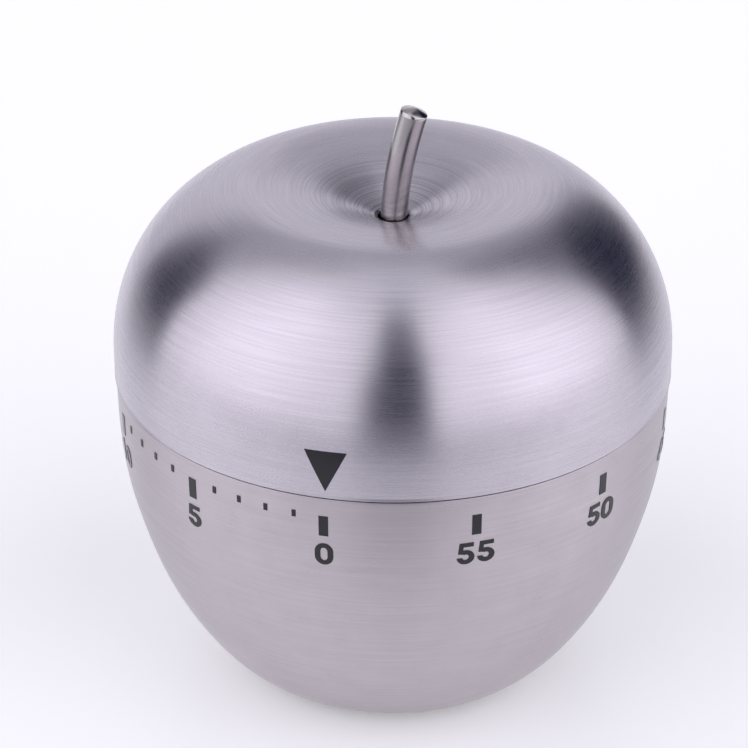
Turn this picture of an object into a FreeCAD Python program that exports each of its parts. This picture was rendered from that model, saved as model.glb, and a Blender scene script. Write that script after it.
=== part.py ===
import FreeCAD, Part
import math
import os

# Wind-up kitchen timer with two pressed steel shells. Millimetres, +Z up.
# The origin is the centre of the face it rests on, and the 0 mark faces -Y.

os.makedirs("parts", exist_ok=True)
V = FreeCAD.Vector
ORIGIN = V(0, 0, 0)
UP = V(0, 0, 1)

# Shells: (radius, height) down or up their outer faces, from the seam.
SHEET = 0.5
SEAM_Z = 37.0
SEAM_GAP = 0.14
UPPER_LINE = [(31.0, SEAM_Z), (30.85, 42.3), (29.4, 47.8), (26.5, 52.6), (23.1, 55.8),
              (19.65, 57.8), (16.6, 58.6), (12.9, 58.3), (8.6, 57.5), (4.6, 56.0), (1.7, 54.8)]
UPPER_ENDS = ((0, 1), (-0.92, -0.39))
LOWER_LINE = [(30.8, SEAM_Z - SEAM_GAP), (30.68, 31.2), (30.1, 25.6), (28.7, 19.7), (26.6, 13.6),
              (23.3, 7.4), (19.5, 2.75), (17.6, 1.4), (16.2, 1.0)]
LOWER_ENDS = ((0, -1), (-1, 0))
LIP_R = 14.8
OVERALL_R = 60.0
EDGE_ROUND = 0.18

# Moulded liners that carry the shells.
LINER_GAP = 0.1
LINER_WALL = 1.5
LINER_TOP_Z = SEAM_Z - SEAM_GAP - 0.1
FLOOR_Z = 1.6
FLOOR_R = 16.6
FLOOR_HOLE_R = 3.0
SKIRT_R = 28.1
SKIRT_LOW_Z = 34.8
FLANGE_Z = (37.2, 38.4)
WEB_Z = (47.0, 48.5)
HUB_R = 4.5
HUB_LOW_Z = 35.6
SOCKET_TOP_Z = 41.5
NUT_ROOM_R = 3.3
NECK_R = 4.0
NECK_TOP_Z = 53.2

# Stem: straight through the hub, then one long bend.
STEM_R = 1.5
STEM_LOW_Z = 43.6
BEND_Z = 52.0
BEND_R = 52.0
BEND_TURN = 16.8
STEM_LEAN = 13.4
STEM_CONE = 0.5
STEM_BREAK = 0.1
STEM_POINT_R = 0.2
STEM_NUT = (5.5, 2.4, 44.3)

# Base: cover, rubber foot and screws from below.
COVER_R = 15.9
COVER_Z = (0.4, 1.0)
PLUG_R = 14.5
FOOT_R = (10.0, 13.4)
FOOT_TOP_Z = 0.75
BASE_SCREW_AT = (6.5, (30, 150, 270))
BASE_SCREW_R = 1.0
BASE_SCREW_HEAD = (2.0, 1.0)
BASE_SCREW_TOP_Z = 5.2
BASE_BOSS_R = 2.1
BASE_BOSS_TOP_Z = 5.6

# Printed marks. Heights are below the seam, and one minute is six degrees.
INK = 0.05
MARK_FROM_R = 26.0
MARK_DEPTH = 8.0
MINUTE = 6.0
MAJOR_TICK = (1.03, 2.4, 3.5)
MINOR_TICK = (0.45, 0.8, 2.45)
MINOR_TO = 10
NUMBER_DROP = 7.0
NUMBER_TALL = 1.05
DIGIT_W = 2.0
DIGIT_H = 2.55
STROKE = 0.62
STROKE_TOP = 0.5
NOUGHT_STRAIGHT = 0.3
DIGIT_STEP = 2.22
POINTER_W = 4.5
POINTER_H = 4.6
POINTER_RISE = 0.9
POINTER_MINUTE = -0.09

# Movement frame.
BOTTOM_PLATE = (23.6, 14.0, 15.0)
TOP_PLATE = (22.9, 27.0, 28.0)
PILLAR_AT = (21.3, (32, 152, 272))
PILLAR_R = 1.5
SPIGOT_R = 0.9
PILLAR_NUT = (4.0, 1.2)
MOUNT_AT = (21.6, (92, 212, 332))
MOUNT_SCREW_R = 1.0
MOUNT_HEAD = (1.9, 1.1)
MOUNT_BOSS = (1.9, 4.0)
MOUNT_SCREW_LOW_Z = 9.0
END_SHAKE = 0.15

# Going train: (module, wheel teeth, pinion teeth) of each pair, and the way from arbor to arbor.
PAIR_1 = (0.30, 72, 12)
PAIR_2 = (0.28, 60, 8)
PAIR_3 = (0.25, 64, 8)
MESH_ROOM = 0.05
WHEEL_TOOTH = {"rise": 0.8, "fall": 1.0, "tooth": 1.4}
LEAF = {"rise": 0.6, "fall": 1.0, "tooth": 1.2}
MAIN_WINDOWS = (6, 3.6, 9.0)
SECOND_WINDOWS = (5, 2.2, 7.0)
THIRD_WINDOWS = (5, 2.0, 6.6)
ESCAPE_HOLES = (4, 2.3, 0.8)
WAY_1 = 100.0
WAY_2 = -7.0
WAY_3 = -46.0
WAY_VERGE = -80.0
VERGE_AWAY = 6.6
PIVOT_R = 0.4
PIVOT_HOLE_R = 0.45
ARBOR_R = 0.8
MAIN_WHEEL_Z = (16.0, 17.0)
PINION_2_Z = (15.6, 17.6)
SECOND_WHEEL_Z = (18.8, 19.5)
PINION_3_Z = (18.4, 19.9)
THIRD_WHEEL_Z = (21.4, 22.0)
PINION_E_Z = (21.0, 22.4)
ESCAPE_WHEEL_Z = (24.1, 24.7)
ESCAPE_TEETH = 15
ESCAPE_R = (3.9, 5.0)
ESCAPE_TOOTH = (6.0, 1.0)

# Verge: two pallet pins astride the escape wheel, and a balance bar above it.
PALLET_SPAN = 108.0
PALLET_AT_R = 5.31
PALLET_PIN_R = 0.25
VERGE_LEVER_Z = (23.0, 23.6)
PALLET_TOP_Z = 25.0
BAR_Z = (25.7, 26.5)
BAR_HALF = 6.0
BAR_W = 1.6
BAR_WEIGHT = (1.35, 0.5)

# Main arbor, mainspring and its barrel.
ARBOR_PIVOT_R = 1.0
ARBOR_BODY_R = 1.75
ARBOR_TOP_R = 1.5
ARBOR_COLLAR = (3.0, 15.2)
RATCHET_WASHER = (3, 6.2, 1.6, 0.3)
SQUARE = 2.1
SQUARE_Z = (34.2, 41.0)
BARREL_R = 14.0
BARREL_WALL = 0.5
BARREL_Z = (28.0, 33.0)
COVER_RIM = 0.4
COLLET_R = 3.0
SPRING_STRIP = 0.25
SPRING_R = (3.3, 13.7)
SPRING_TURNS = 8
SPRING_Z = (28.9, 32.7)

# Cam, stops and release lever. The cap turns TRAVEL degrees between its stops.
TRAVEL = 354.0
CAM_R = 11.0
CAM_Z = (34.4, 35.2)
NOTCH_DEPTH = 1.2
NOTCH_HALF = 16.0
NOTCH_MOUTH = 20.0
NOTCH_BACK = 6.0
STOP_R = 10.2
STOP_AT = 90.0
STOP_PIN_R = 0.25
STOP_LUG = (1.2, 0.52, 0.6)
RELEASE_AT = (17.5, 200.0)
NOSE_AT = (11.6, 235.0)
LEVER_W = 1.0
BLOCK_REACH = 8.6

# Strike: star, hammer and bell.
STRIKE_Z = (24.0, 24.8)
STAR_R = (2.0, 3.2)
STAR_POINTS = 6
HAMMER_AT = (14.0, 150.0)
TAIL_W = 1.4
TAIL_ROOM = 0.4
COUNTER_TAIL = 5.0
HAMMER_WAY = 240.0
HAMMER_REACH = 8.4
HAMMER_ARM_Z = (11.4, 12.2)
HAMMER_HEAD = (1.4, 11.0, 12.6)
HAMMER_RIVET_R = 0.45
BELL_LINE = [(9.0, 6.0), (14.0, 6.7), (17.6, 8.9), (19.4, 12.9)]
BELL_ENDS = ((1, 0), (0, 1))
BELL_WALL = 0.8
BELL_HOLE_R = 1.3
BELL_POST = (2.5, 5.0, 13.2)
BELL_SCREW = (1.2, 2.4, 1.1, 10.5)

SLOT = 0.45
FIT = 0.02
RUNNING = 0.05


def save(name, shape):
    shape.exportStep("parts/" + name + ".step")
    solids = len(shape.Solids)
    print(f"{name:18s} solids {solids:3d}  valid {shape.isValid()}  volume {shape.Volume:9.3f}")


def polar(radius, degrees, z=0.0):
    turn = math.radians(degrees)
    return V(radius * math.cos(turn), radius * math.sin(turn), z)


def cylinder(radius, low, high, at=ORIGIN):
    return Part.makeCylinder(radius, high - low, V(at.x, at.y, low))


def ring(inner, outer, low, high, at=ORIGIN):
    return cylinder(outer, low, high, at).cut(cylinder(inner, low, high, at))


def prism(points, low, high):
    corners = [V(x, y, low) for x, y in points]
    return Part.Face(Part.makePolygon(corners + corners[:1])).extrude(V(0, 0, high - low))


def block(x0, y0, x1, y1, low, high):
    return prism([(x0, y0), (x1, y0), (x1, y1), (x0, y1)], low, high)


def hexagon(across, low, high, at):
    corner = across / 2 / math.cos(math.radians(30))
    points = [polar(corner, 60 * i) + at for i in range(6)]
    return prism([(p.x, p.y) for p in points], low, high)


def link(a, b, width, low, high):
    """A flat lever with round ends, from one point to another."""
    along = b - a
    side = V(-along.y, along.x, 0).normalize() * (width / 2)
    corners = [a + side, b + side, b - side, a - side]
    bar = prism([(p.x, p.y) for p in corners], low, high)
    return bar.fuse([cylinder(width / 2, low, high, a), cylinder(width / 2, low, high, b)]).removeSplitter()


def around(circle):
    """The places of like pieces on one circle, given as its radius and their bearings."""
    radius, bearings = circle
    return [polar(radius, bearing) for bearing in bearings]


def skin(line, ends, depth):
    """The curve through a shell's points, moved inwards by a depth. ends are its directions there."""
    start, finish = (V(x, 0, z) for x, z in ends)
    side = -1 if start.z < 0 else 1
    points = [V(r, 0, z) for r, z in line]
    curve = Part.BSplineCurve()
    curve.interpolate(Points=points, InitialTangent=start, FinalTangent=finish)
    moved = []
    for point in points:
        along = curve.tangent(curve.parameter(point))[0].normalize()
        moved.append(point + V(-along.z, 0, along.x) * (depth * side))
    curve.interpolate(Points=moved, InitialTangent=start, FinalTangent=finish)
    return curve


def skin_band(line, ends, outer, inner):
    """A shell of revolution between two depths under a shell's outer face."""
    near = skin(line, ends, outer)
    far = skin(line, ends, inner)
    edges = [near.toShape(), far.toShape()]
    edges.append(Part.makeLine(near.StartPoint, far.StartPoint))
    edges.append(Part.makeLine(near.EndPoint, far.EndPoint))
    outline = Part.Wire(Part.__sortEdges__(edges))
    return Part.Face(outline).revolve(ORIGIN, UP, 360)


def trim(shape, low, high):
    return shape.common(cylinder(OVERALL_R, low, high))


# ---- shells and liners

def upper_shell():
    shell = skin_band(UPPER_LINE, UPPER_ENDS, 0, SHEET)
    rims = [edge for edge in shell.Edges if edge.BoundBox.ZMax < SEAM_Z + EDGE_ROUND]
    outer_rim = max(rims, key=lambda edge: edge.BoundBox.XLength)
    return shell.makeFillet(EDGE_ROUND, [outer_rim])


def lower_shell():
    shell = skin_band(LOWER_LINE, LOWER_ENDS, 0, SHEET)
    foot_r, foot_z = LOWER_LINE[-1]
    return shell.fuse(ring(LIP_R, foot_r, foot_z, foot_z + SHEET)).removeSplitter()


def upper_liner():
    depth = SHEET + LINER_GAP
    wall = trim(skin_band(UPPER_LINE, UPPER_ENDS, depth, depth + LINER_WALL), FLANGE_Z[0], WEB_Z[1])
    room = trim(skin_solid(UPPER_LINE, UPPER_ENDS, depth), 0, WEB_Z[1])
    web = room.common(cylinder(SKIRT_R + 4, *WEB_Z))
    flange = room.common(ring(SKIRT_R - LINER_WALL, SKIRT_R + 4, *FLANGE_Z))
    skirt = ring(SKIRT_R - LINER_WALL, SKIRT_R, SKIRT_LOW_Z, FLANGE_Z[1])
    hub = cylinder(HUB_R, HUB_LOW_Z, WEB_Z[0])
    neck = cylinder(NECK_R, WEB_Z[1], NECK_TOP_Z)
    body = wall.fuse([web, flange, skirt, hub, neck])
    half = SQUARE / 2 + FIT
    socket = block(-half, -half, half, half, HUB_LOW_Z, SOCKET_TOP_Z)
    nut_room = cylinder(NUT_ROOM_R, SOCKET_TOP_Z, WEB_Z[0])
    stem_hole = cylinder(STEM_R + RUNNING, WEB_Z[0], NECK_TOP_Z)
    return body.cut(socket.fuse([nut_room, stem_hole])).removeSplitter()


def skin_solid(line, ends, depth):
    """The whole room inside a shell, from its axis to a depth under its face."""
    curve = skin(line, ends, depth)
    first = V(0, 0, curve.StartPoint.z)
    last = V(0, 0, curve.EndPoint.z)
    edges = [curve.toShape(), Part.makeLine(first, last)]
    edges.append(Part.makeLine(curve.StartPoint, first))
    edges.append(Part.makeLine(curve.EndPoint, last))
    outline = Part.Wire(Part.__sortEdges__(edges))
    return Part.Face(outline).revolve(ORIGIN, UP, 360)


def lower_liner():
    depth = SHEET + LINER_GAP
    room = skin_solid(LOWER_LINE, LOWER_ENDS, depth)
    wall = trim(skin_band(LOWER_LINE, LOWER_ENDS, depth, depth + LINER_WALL), FLOOR_Z, LINER_TOP_Z)
    floor = ring(FLOOR_HOLE_R, FLOOR_R, FLOOR_Z, FLOOR_Z + LINER_WALL)
    pieces = [floor]
    holes = []
    for at in around(BASE_SCREW_AT):
        pieces.append(cylinder(BASE_BOSS_R, FLOOR_Z, BASE_BOSS_TOP_Z, at))
        holes.append(cylinder(BASE_SCREW_R + FIT, FLOOR_Z, BASE_SCREW_TOP_Z + FIT, at))
    for at in around(MOUNT_AT):
        post = cylinder(MOUNT_BOSS[0], MOUNT_BOSS[1], BOTTOM_PLATE[1], at)
        rib = link(at, at * 1.25, LINER_WALL, MOUNT_BOSS[1], BOTTOM_PLATE[1])
        pieces.append(post.fuse(rib).common(room))
        holes.append(cylinder(MOUNT_SCREW_R + FIT, MOUNT_SCREW_LOW_Z - 0.3, BOTTOM_PLATE[1], at))
    return wall.fuse(pieces).cut(Part.makeCompound(holes)).removeSplitter()


# ---- stem

def stem():
    lean = polar(1, STEM_LEAN)
    axis = UP.cross(lean)
    straight = cylinder(STEM_R, STEM_LOW_Z, BEND_Z)
    disc = Part.Face(Part.Wire(Part.makeCircle(STEM_R, V(0, 0, BEND_Z), UP)))
    bend = disc.revolve(lean * BEND_R + V(0, 0, BEND_Z), axis, BEND_TURN)
    shoulder = V(STEM_R - STEM_BREAK, 0, STEM_BREAK)
    point = V(STEM_POINT_R, 0, STEM_CONE)
    corners = [ORIGIN, V(STEM_R, 0, 0), shoulder, point, V(0, 0, STEM_CONE), ORIGIN]
    edges = [Part.makeLine(a, b) for a, b in zip(corners, corners[1:])]
    tip = Part.Face(Part.Wire(edges)).revolve(ORIGIN, UP, 360)
    tip.rotate(ORIGIN, UP, 90)
    tip.translate(V(0, 0, BEND_Z))
    tip.rotate(lean * BEND_R + V(0, 0, BEND_Z), axis, BEND_TURN)
    return straight.fuse([bend, tip]).removeSplitter()


def stem_nut():
    across, height, low = STEM_NUT
    return hexagon(across, low, low + height, ORIGIN).cut(cylinder(STEM_R + FIT, low, low + height))


# ---- base

def base_cover():
    body = cylinder(COVER_R, *COVER_Z).fuse(cylinder(PLUG_R, COVER_Z[1], FLOOR_Z))
    cuts = [ring(FOOT_R[0], FOOT_R[1], COVER_Z[0], FOOT_TOP_Z)]
    for at in around(BASE_SCREW_AT):
        cuts.append(base_screw(at, FIT))
    return body.cut(Part.makeCompound(cuts)).removeSplitter()


def base_screw(at, room=0.0):
    """A countersunk screw that points up."""
    head_r, head_h = BASE_SCREW_HEAD
    head = Part.makeCone(head_r + room, BASE_SCREW_R + room, head_h, V(at.x, at.y, COVER_Z[0]))
    shank = cylinder(BASE_SCREW_R + room, COVER_Z[0] + head_h, BASE_SCREW_TOP_Z, at)
    return head.fuse(shank).removeSplitter()


def base_screws():
    head_r = BASE_SCREW_HEAD[0]
    screws = []
    for at in around(BASE_SCREW_AT):
        slot = block(-head_r, -SLOT / 2, head_r, SLOT / 2, COVER_Z[0], COVER_Z[0] + SLOT)
        slot.translate(at)
        screws.append(base_screw(at).cut(slot))
    return Part.makeCompound(screws)


def foot_ring():
    return ring(FOOT_R[0] + FIT, FOOT_R[1] - FIT, 0, FOOT_TOP_Z)


# ---- printed marks, drawn flat and wrapped onto the shells

def ellipse(cx, cy, rx, ry):
    oval = Part.Ellipse(ORIGIN, max(rx, ry), min(rx, ry)).toShape()
    if ry > rx:
        oval.rotate(ORIGIN, UP, 90)
    oval.translate(V(cx, cy, 0))
    return Part.Face(Part.Wire(oval)).extrude(UP)


def bowl(cx, cy, rx, ry):
    """An oval stroke, a little thinner at its top and bottom."""
    return ellipse(cx, cy, rx, ry).cut(ellipse(cx, cy, rx - STROKE, ry - STROKE_TOP))


def nought(rx, ry):
    """An oval with straight sides."""
    ends = [ellipse(0, side * NOUGHT_STRAIGHT, rx, ry - NOUGHT_STRAIGHT) for side in (1, -1)]
    return block(-rx, -NOUGHT_STRAIGHT, rx, NOUGHT_STRAIGHT, 0, 1).fuse(ends).removeSplitter()


def digit_0():
    return nought(DIGIT_W / 2, DIGIT_H / 2).cut(nought(DIGIT_W / 2 - STROKE, DIGIT_H / 2 - STROKE_TOP))


def digit_1():
    top = DIGIT_H / 2
    return prism([(0.06, -top), (0.64, -top), (0.64, top), (0.2, top), (0.02, 0.98), (-0.5, 0.86),
                  (-0.5, 0.46), (0.06, 0.46)], 0, 1)


def digit_2():
    top = DIGIT_H / 2
    arch = bowl(0, 0.45, 0.95, top - 0.45).cut(block(-1.1, -0.6, 1.1, 0.24, 0, 1))
    arch = arch.cut(block(-1.1, 0.2, -0.2, 0.5, 0, 1))
    slope = prism([(0.36, 0.3), (0.93, 0.3), (0.86, -0.02), (0.6, -0.36), (-0.1, -0.84), (-0.97, -0.84),
                   (-0.86, -0.6)], 0, 1)
    return arch.fuse([slope, block(-0.97, -top, 0.97, -top + 0.47, 0, 1)])


def digit_3():
    top = DIGIT_H / 2
    upper = bowl(0.02, 0.63, 0.86, top - 0.63)
    lower = bowl(0, -0.52, 0.95, top - 0.52)
    middle = block(-0.3, -0.1, 0.1, 0.34, 0, 1)
    hook = upper.fuse(lower).cut(block(-1.1, -0.46, -0.02, 0.6, 0, 1))
    inside = ellipse(0, -0.52, 0.4, 0.25).fuse(ellipse(0.02, 0.63, 0.31, 0.14))
    return hook.fuse(middle).cut(inside)


def digit_4():
    top = DIGIT_H / 2
    outline = prism([(0.24, -top), (0.79, -top), (0.79, -0.72), (1.05, -0.72), (1.05, -0.27), (0.79, -0.27),
                     (0.79, top), (0.2, top), (-1.0, -0.25), (-1.0, -0.72), (0.24, -0.72)], 0, 1)
    return outline.cut(prism([(0.24, -0.27), (0.24, 0.6), (-0.44, -0.27)], 0, 1))


def digit_5():
    top = DIGIT_H / 2
    belly = bowl(0, -0.43, 0.97, top - 0.43).cut(block(-1.1, -0.5, -0.2, 0.6, 0, 1))
    neck = prism([(-0.7, top), (-0.2, top), (-0.3, 0.42), (-0.06, 0.41), (-0.2, -0.08), (-0.84, 0.02)], 0, 1)
    neck = neck.cut(ellipse(0, -0.43, 0.42, 0.34))
    return belly.fuse([neck, block(-0.7, top - 0.47, 0.84, top, 0, 1)])


DIGITS = [digit_0, digit_1, digit_2, digit_3, digit_4, digit_5]


def stand(flat, height, minute, tall=1.0):
    """Turns a flat mark upright, stands it through the shell and takes it round to its minute."""
    deep = flat.copy()
    stretch = FreeCAD.Matrix()
    stretch.A22 = tall
    stretch.A33 = MARK_DEPTH
    deep = deep.transformGeometry(stretch)
    deep.translate(V(0, 0, MARK_FROM_R))
    deep.rotate(ORIGIN, V(1, 0, 0), 90)
    deep.translate(V(0, 0, height))
    deep.rotate(ORIGIN, UP, -MINUTE * minute)
    return deep


def tick(size):
    width, height, drop = size
    return block(-width / 2, -height / 2, width / 2, height / 2, 0, 1), SEAM_Z - drop


def minute_scale():
    marks = []
    for minute in range(0, 60, 5):
        marks.append(stand(*tick(MAJOR_TICK), minute))
        figures = str(minute)
        for place, figure in enumerate(figures):
            flat = DIGITS[int(figure)]()
            flat.translate(V((place - (len(figures) - 1) / 2) * DIGIT_STEP, 0, 0))
            marks.append(stand(flat, SEAM_Z - NUMBER_DROP, minute, NUMBER_TALL))
    for minute in range(1, MINOR_TO):
        if minute % 5:
            marks.append(stand(*tick(MINOR_TICK), minute))
    band = skin_band(LOWER_LINE, LOWER_ENDS, -INK, 0)
    printed = [mark.common(band) for mark in marks]
    return Part.makeCompound([s for shape in printed for s in shape.Solids])


def pointer_mark():
    half = POINTER_W / 2
    flat = prism([(-half, POINTER_H), (0, 0), (half, POINTER_H)], 0, 1)
    band = skin_band(UPPER_LINE, UPPER_ENDS, -INK, 0)
    return stand(flat, SEAM_Z + POINTER_RISE, POINTER_MINUTE).common(band).Solids[0]


# ---- movement frame

def centre_distance(pair):
    module, wheel, pinion = pair
    return module * (wheel + pinion) / 2 + MESH_ROOM


SECOND = polar(centre_distance(PAIR_1), WAY_1)
THIRD = SECOND + polar(centre_distance(PAIR_2), WAY_2)
ESCAPE = THIRD + polar(centre_distance(PAIR_3), WAY_3)
VERGE = ESCAPE + polar(VERGE_AWAY, WAY_VERGE)
HAMMER = polar(*HAMMER_AT)
RELEASE = polar(*RELEASE_AT)


def bottom_plate():
    radius, low, high = BOTTOM_PLATE
    holes = [cylinder(PIVOT_HOLE_R, low, high, at) for at in (SECOND, THIRD, ESCAPE, VERGE, RELEASE)]
    holes.append(cylinder(ARBOR_PIVOT_R + RUNNING, low, high))
    holes.append(cylinder(ARBOR_R + RUNNING, low, high, HAMMER))
    holes += [cylinder(SPIGOT_R + FIT, low, high, at) for at in around(PILLAR_AT)]
    holes += [cylinder(MOUNT_SCREW_R + FIT, low, high, at) for at in around(MOUNT_AT)]
    return cylinder(radius, low, high).cut(Part.makeCompound(holes))


def top_plate():
    radius, low, high = TOP_PLATE
    holes = [cylinder(PIVOT_HOLE_R, low, high, at) for at in (SECOND, THIRD, ESCAPE, VERGE, HAMMER)]
    holes.append(cylinder(ARBOR_TOP_R + RUNNING, low, high))
    holes.append(cylinder(ARBOR_R + RUNNING, low, high, RELEASE))
    holes += [cylinder(SPIGOT_R + FIT, low, high, at) for at in around(PILLAR_AT)]
    return cylinder(radius, low, high).cut(Part.makeCompound(holes))


def plate_pillars():
    pillars = []
    for at in around(PILLAR_AT):
        body = cylinder(PILLAR_R, BOTTOM_PLATE[2], TOP_PLATE[1], at)
        top = TOP_PLATE[2] + PILLAR_NUT[1] + 0.3
        pillars.append(body.fuse(cylinder(SPIGOT_R, BOTTOM_PLATE[1], top, at)).removeSplitter())
    return Part.makeCompound(pillars)


def pillar_nuts():
    across, height = PILLAR_NUT
    low = TOP_PLATE[2]
    nuts = []
    for at in around(PILLAR_AT):
        nut = hexagon(across, low, low + height, at)
        nuts.append(nut.cut(cylinder(SPIGOT_R + FIT, low, low + height, at)))
    return Part.makeCompound(nuts)


def movement_screws():
    head_r, head_h = MOUNT_HEAD
    low = BOTTOM_PLATE[2]
    screws = []
    for at in around(MOUNT_AT):
        slot = block(-head_r, -SLOT / 2, head_r, SLOT / 2, low + head_h - SLOT, low + head_h)
        slot.translate(at)
        screw = cylinder(head_r, low, low + head_h, at).cut(slot)
        screws.append(screw.fuse(cylinder(MOUNT_SCREW_R, MOUNT_SCREW_LOW_Z, low, at)).removeSplitter())
    return Part.makeCompound(screws)


# ---- going train

def toothed(teeth, module, low, high, rise, fall, tooth):
    """A wheel with clock teeth: radial flanks below the pitch circle and a rounded point above it.
    rise and fall are the tooth's heights above and below the pitch circle, and tooth its width there,
    all in modules."""
    pitch_r = module * teeth / 2
    tip_r = pitch_r + rise * module
    root_r = pitch_r - fall * module
    half = math.degrees(tooth * module / 2 / pitch_r)
    step = 360 / teeth
    edges = []
    for i in range(teeth):
        mid = i * step
        feet = [polar(root_r, mid - half, low), polar(root_r, mid + half, low)]
        hips = [polar(pitch_r, mid - half, low), polar(pitch_r, mid + half, low)]
        next_foot = polar(root_r, mid + step - half, low)
        edges.append(Part.makeLine(feet[0], hips[0]))
        edges.append(Part.Arc(hips[0], polar(tip_r, mid, low), hips[1]).toShape())
        edges.append(Part.makeLine(hips[1], feet[1]))
        edges.append(Part.Arc(feet[1], polar(root_r, mid + step / 2, low), next_foot).toShape())
    return Part.Face(Part.Wire(edges)).extrude(V(0, 0, high - low))


def wheel(pair, span, bore, turn, at, windows):
    """A wheel on its arbor. windows gives how many holes lighten it, and the radii they lie between."""
    module, teeth, _ = pair
    blank = toothed(teeth, module, *span, **WHEEL_TOOTH)
    count, hub_r, rim_r = windows
    holes = [cylinder(bore, *span)]
    hole_r = (rim_r - hub_r) / 2
    for i in range(count):
        holes.append(cylinder(hole_r, *span, polar(hub_r + hole_r, 360 * i / count)))
    blank = blank.cut(Part.makeCompound(holes))
    blank.rotate(ORIGIN, UP, turn)
    blank.translate(at)
    return blank


def pinion_arbor(pair, span, turn, at):
    """An arbor between the plates, with a pinion cut on it."""
    module, _, leaves = pair
    pinion = toothed(leaves, module, *span, **LEAF)
    pinion.rotate(ORIGIN, UP, turn)
    pinion.translate(at)
    return pinion.fuse(plain_arbor(at)).removeSplitter()


def plain_arbor(at):
    body = cylinder(ARBOR_R, BOTTOM_PLATE[2] + END_SHAKE, TOP_PLATE[1] - END_SHAKE, at)
    return body.fuse(cylinder(PIVOT_R, BOTTOM_PLATE[1], TOP_PLATE[2], at)).removeSplitter()


def pinion_turn(pair, way):
    """A leaf gap faces the wheel, which has a tooth on the line of centres."""
    return way + 180 + 180 / pair[2]


def main_wheel():
    return wheel(PAIR_1, MAIN_WHEEL_Z, ARBOR_BODY_R + FIT, WAY_1, ORIGIN, MAIN_WINDOWS)


def second_wheel():
    return wheel(PAIR_2, SECOND_WHEEL_Z, ARBOR_R + FIT, WAY_2, SECOND, SECOND_WINDOWS)


def third_wheel():
    return wheel(PAIR_3, THIRD_WHEEL_Z, ARBOR_R + FIT, WAY_3, THIRD, THIRD_WINDOWS)


def escape_wheel():
    root_r, tip_r = ESCAPE_R
    step = 360 / ESCAPE_TEETH
    foot, tip = ESCAPE_TOOTH
    points = []
    for i in range(ESCAPE_TEETH):
        mid = i * step
        for radius, off in ((root_r, -foot), (tip_r, -tip), (tip_r, tip), (root_r, foot)):
            points.append(polar(radius, mid + off))
    blank = prism([(p.x, p.y) for p in points], *ESCAPE_WHEEL_Z)
    holes = [cylinder(ARBOR_R + FIT, *ESCAPE_WHEEL_Z)]
    count, circle_r, hole_r = ESCAPE_HOLES
    for i in range(count):
        holes.append(cylinder(hole_r, *ESCAPE_WHEEL_Z, polar(circle_r, 360 * i / count)))
    blank = blank.cut(Part.makeCompound(holes))
    blank.rotate(ORIGIN, UP, WAY_VERGE)
    blank.translate(ESCAPE)
    return blank


def strike_star():
    root_r, tip_r = STAR_R
    points = []
    for i in range(2 * STAR_POINTS):
        points.append(polar(tip_r if i % 2 else root_r, 180 * i / STAR_POINTS))
    star = prism([(p.x, p.y) for p in points], *STRIKE_Z)
    star.translate(SECOND)
    return star.cut(cylinder(ARBOR_R + FIT, *STRIKE_Z, SECOND))


# ---- verge

def pallet_points():
    return [ESCAPE + polar(PALLET_AT_R, WAY_VERGE + side * PALLET_SPAN / 2) for side in (-1, 1)]


def verge_lever():
    arms = [link(VERGE, at, LEVER_W, *VERGE_LEVER_Z) for at in pallet_points()]
    hub = cylinder(ARBOR_R * 2, *VERGE_LEVER_Z, VERGE)
    return hub.fuse(arms).cut(cylinder(ARBOR_R + FIT, *VERGE_LEVER_Z, VERGE)).removeSplitter()


def pallet_pins():
    span = (VERGE_LEVER_Z[1], PALLET_TOP_Z)
    return Part.makeCompound([cylinder(PALLET_PIN_R, *span, at) for at in pallet_points()])


def inertia_bar():
    reach = polar(BAR_HALF, WAY_VERGE + 90)
    bar = link(VERGE - reach, VERGE + reach, BAR_W, *BAR_Z)
    weight_r, weight_h = BAR_WEIGHT
    weights = [cylinder(weight_r, BAR_Z[0] - weight_h, BAR_Z[1], VERGE + reach * way) for way in (-1, 1)]
    hub = cylinder(ARBOR_R * 2, *BAR_Z, VERGE)
    return bar.fuse(weights + [hub]).cut(cylinder(ARBOR_R + FIT, *BAR_Z, VERGE)).removeSplitter()


# ---- main arbor and mainspring

def main_arbor():
    half = SQUARE / 2
    floor_z = BOTTOM_PLATE[2] + END_SHAKE
    body_top = TOP_PLATE[1] - END_SHAKE
    steps = [cylinder(ARBOR_BODY_R, floor_z, body_top), cylinder(ARBOR_TOP_R, body_top, SQUARE_Z[0])]
    steps.append(block(-half, -half, half, half, *SQUARE_Z))
    steps.append(cylinder(ARBOR_COLLAR[0], ARBOR_COLLAR[1], MAIN_WHEEL_Z[0]))
    return cylinder(ARBOR_PIVOT_R, BOTTOM_PLATE[1] + END_SHAKE, floor_z).fuse(steps).removeSplitter()


def ratchet_washer():
    """A sprung star washer that drives the main wheel one way and clicks over it the other."""
    low = MAIN_WHEEL_Z[1]
    arms_n, reach, width, thick = RATCHET_WASHER
    span = (low, low + thick)
    arms = [link(ORIGIN, polar(reach, 360 * i / arms_n), width, *span) for i in range(arms_n)]
    washer = cylinder(ARBOR_COLLAR[0], *span).fuse(arms)
    return washer.cut(cylinder(ARBOR_BODY_R + FIT, *span)).removeSplitter()


def spring_collet():
    return ring(ARBOR_TOP_R + FIT, COLLET_R, BARREL_Z[0] + 0.7, BARREL_Z[1] - 0.1)


def spring_barrel():
    low, high = BARREL_Z
    floor = ring(ARBOR_TOP_R + 0.2, BARREL_R + BARREL_WALL, low, low + BARREL_WALL)
    return floor.fuse(ring(BARREL_R, BARREL_R + BARREL_WALL, low, high)).removeSplitter()


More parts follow.
